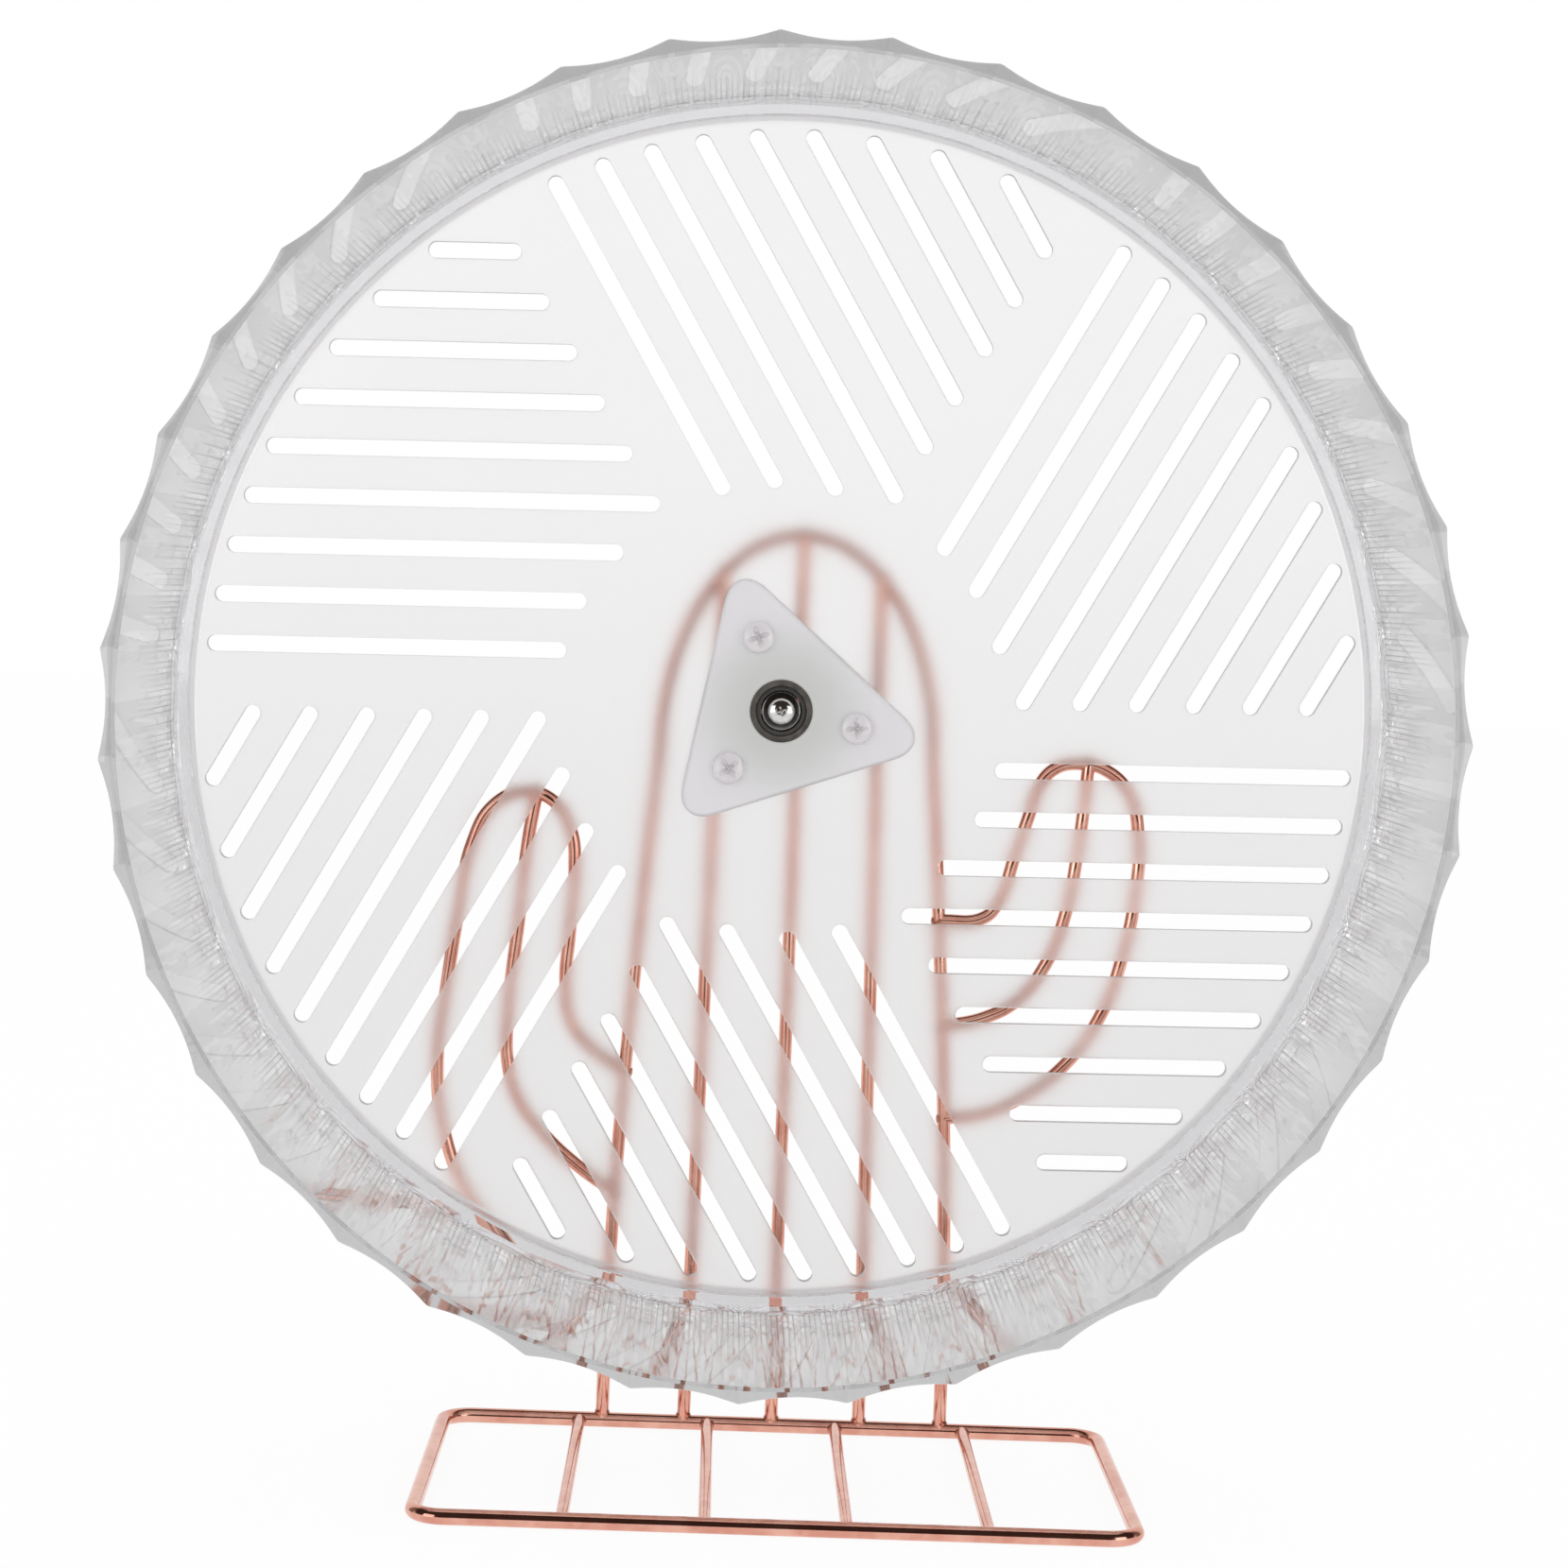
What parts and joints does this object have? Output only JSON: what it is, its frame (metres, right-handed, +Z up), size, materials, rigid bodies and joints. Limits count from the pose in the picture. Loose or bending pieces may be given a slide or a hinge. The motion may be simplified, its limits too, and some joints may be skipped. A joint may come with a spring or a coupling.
{
  "type": "hamster exercise wheel",
  "caption": "Clear fluted hamster running wheel with a slotted frosted back disc, turning on ball bearings in front of a welded rose-gold wire stand.",
  "frame": {"origin": "on the ground, under the axle and halfway through the overall depth", "axes": "+X to the right seen from the open front, +Y to the rear along the axle, +Z up; the open front faces -Y"},
  "size_m": [0.3, 0.1098, 0.332],
  "materials": {
    "clear_plastic": "clear moulded plastic, glossy",
    "frosted_plastic": "frosted translucent plastic, satin",
    "hub_plastic": "frosted translucent plastic with a cool tint, satin",
    "rose_gold_wire": "rose-gold plating, glossy",
    "bearing_steel": "ground bearing steel",
    "seal_rubber": "matte black rubber",
    "cage_nylon": "natural nylon"
  },
  "bodies": {
    "stand": {"base_frame": "rose_gold_wire", "base_crossbar_1": "rose_gold_wire", "base_crossbar_2": "rose_gold_wire", "base_crossbar_3": "rose_gold_wire", "base_crossbar_4": "rose_gold_wire", "trunk_arch": "rose_gold_wire", "trunk_rib_left": "rose_gold_wire", "trunk_rib_centre": "rose_gold_wire", "trunk_rib_right": "rose_gold_wire", "left_arm_loop": "rose_gold_wire", "left_arm_rib": "rose_gold_wire", "right_arm_loop": "rose_gold_wire", "right_arm_rib": "rose_gold_wire", "axle_mount": "rose_gold_wire", "axle_bolt": "bearing_steel", "inner_ring_spacer": "bearing_steel", "front_bearing_inner_ring": "bearing_steel", "rear_bearing_inner_ring": "bearing_steel"},
    "wheel": {"drum": "clear_plastic", "back_disc": "frosted_plastic", "hub_plate": "hub_plastic", "bearing_housing": "frosted_plastic", "hub_screw_1": "clear_plastic", "hub_screw_2": "clear_plastic", "hub_screw_3": "clear_plastic", "front_bearing_outer_ring": "bearing_steel", "front_bearing_front_seal": "seal_rubber", "front_bearing_rear_seal": "seal_rubber", "rear_bearing_outer_ring": "bearing_steel", "rear_bearing_front_seal": "seal_rubber", "rear_bearing_rear_seal": "seal_rubber"},
    "front_cage": {"front_bearing_cage": "cage_nylon", "front_bearing_ball_1": "bearing_steel", "front_bearing_ball_2": "bearing_steel", "front_bearing_ball_3": "bearing_steel", "front_bearing_ball_4": "bearing_steel", "front_bearing_ball_5": "bearing_steel", "front_bearing_ball_6": "bearing_steel", "front_bearing_ball_7": "bearing_steel"},
    "rear_cage": {"rear_bearing_cage": "cage_nylon", "rear_bearing_ball_1": "bearing_steel", "rear_bearing_ball_2": "bearing_steel", "rear_bearing_ball_3": "bearing_steel", "rear_bearing_ball_4": "bearing_steel", "rear_bearing_ball_5": "bearing_steel", "rear_bearing_ball_6": "bearing_steel", "rear_bearing_ball_7": "bearing_steel"}
  },
  "joints": [
    {"name": "wheel_spin", "type": "hinge", "parent": "stand", "child": "wheel", "pos_m": [0, 0, 0.182], "axis": [0, 1, 0], "continuous": true},
    {"name": "front_cage_spin", "type": "hinge", "parent": "stand", "child": "front_cage", "pos_m": [0, 0, 0.182], "axis": [0, 1, 0], "continuous": true},
    {"name": "rear_cage_spin", "type": "hinge", "parent": "stand", "child": "rear_cage", "pos_m": [0, 0, 0.182], "axis": [0, 1, 0], "continuous": true}
  ],
  "couplings": [
    {"joint": "front_cage_spin", "follows": "wheel_spin", "ratio": 0.609},
    {"joint": "rear_cage_spin", "follows": "wheel_spin", "ratio": 0.609}
  ]
}
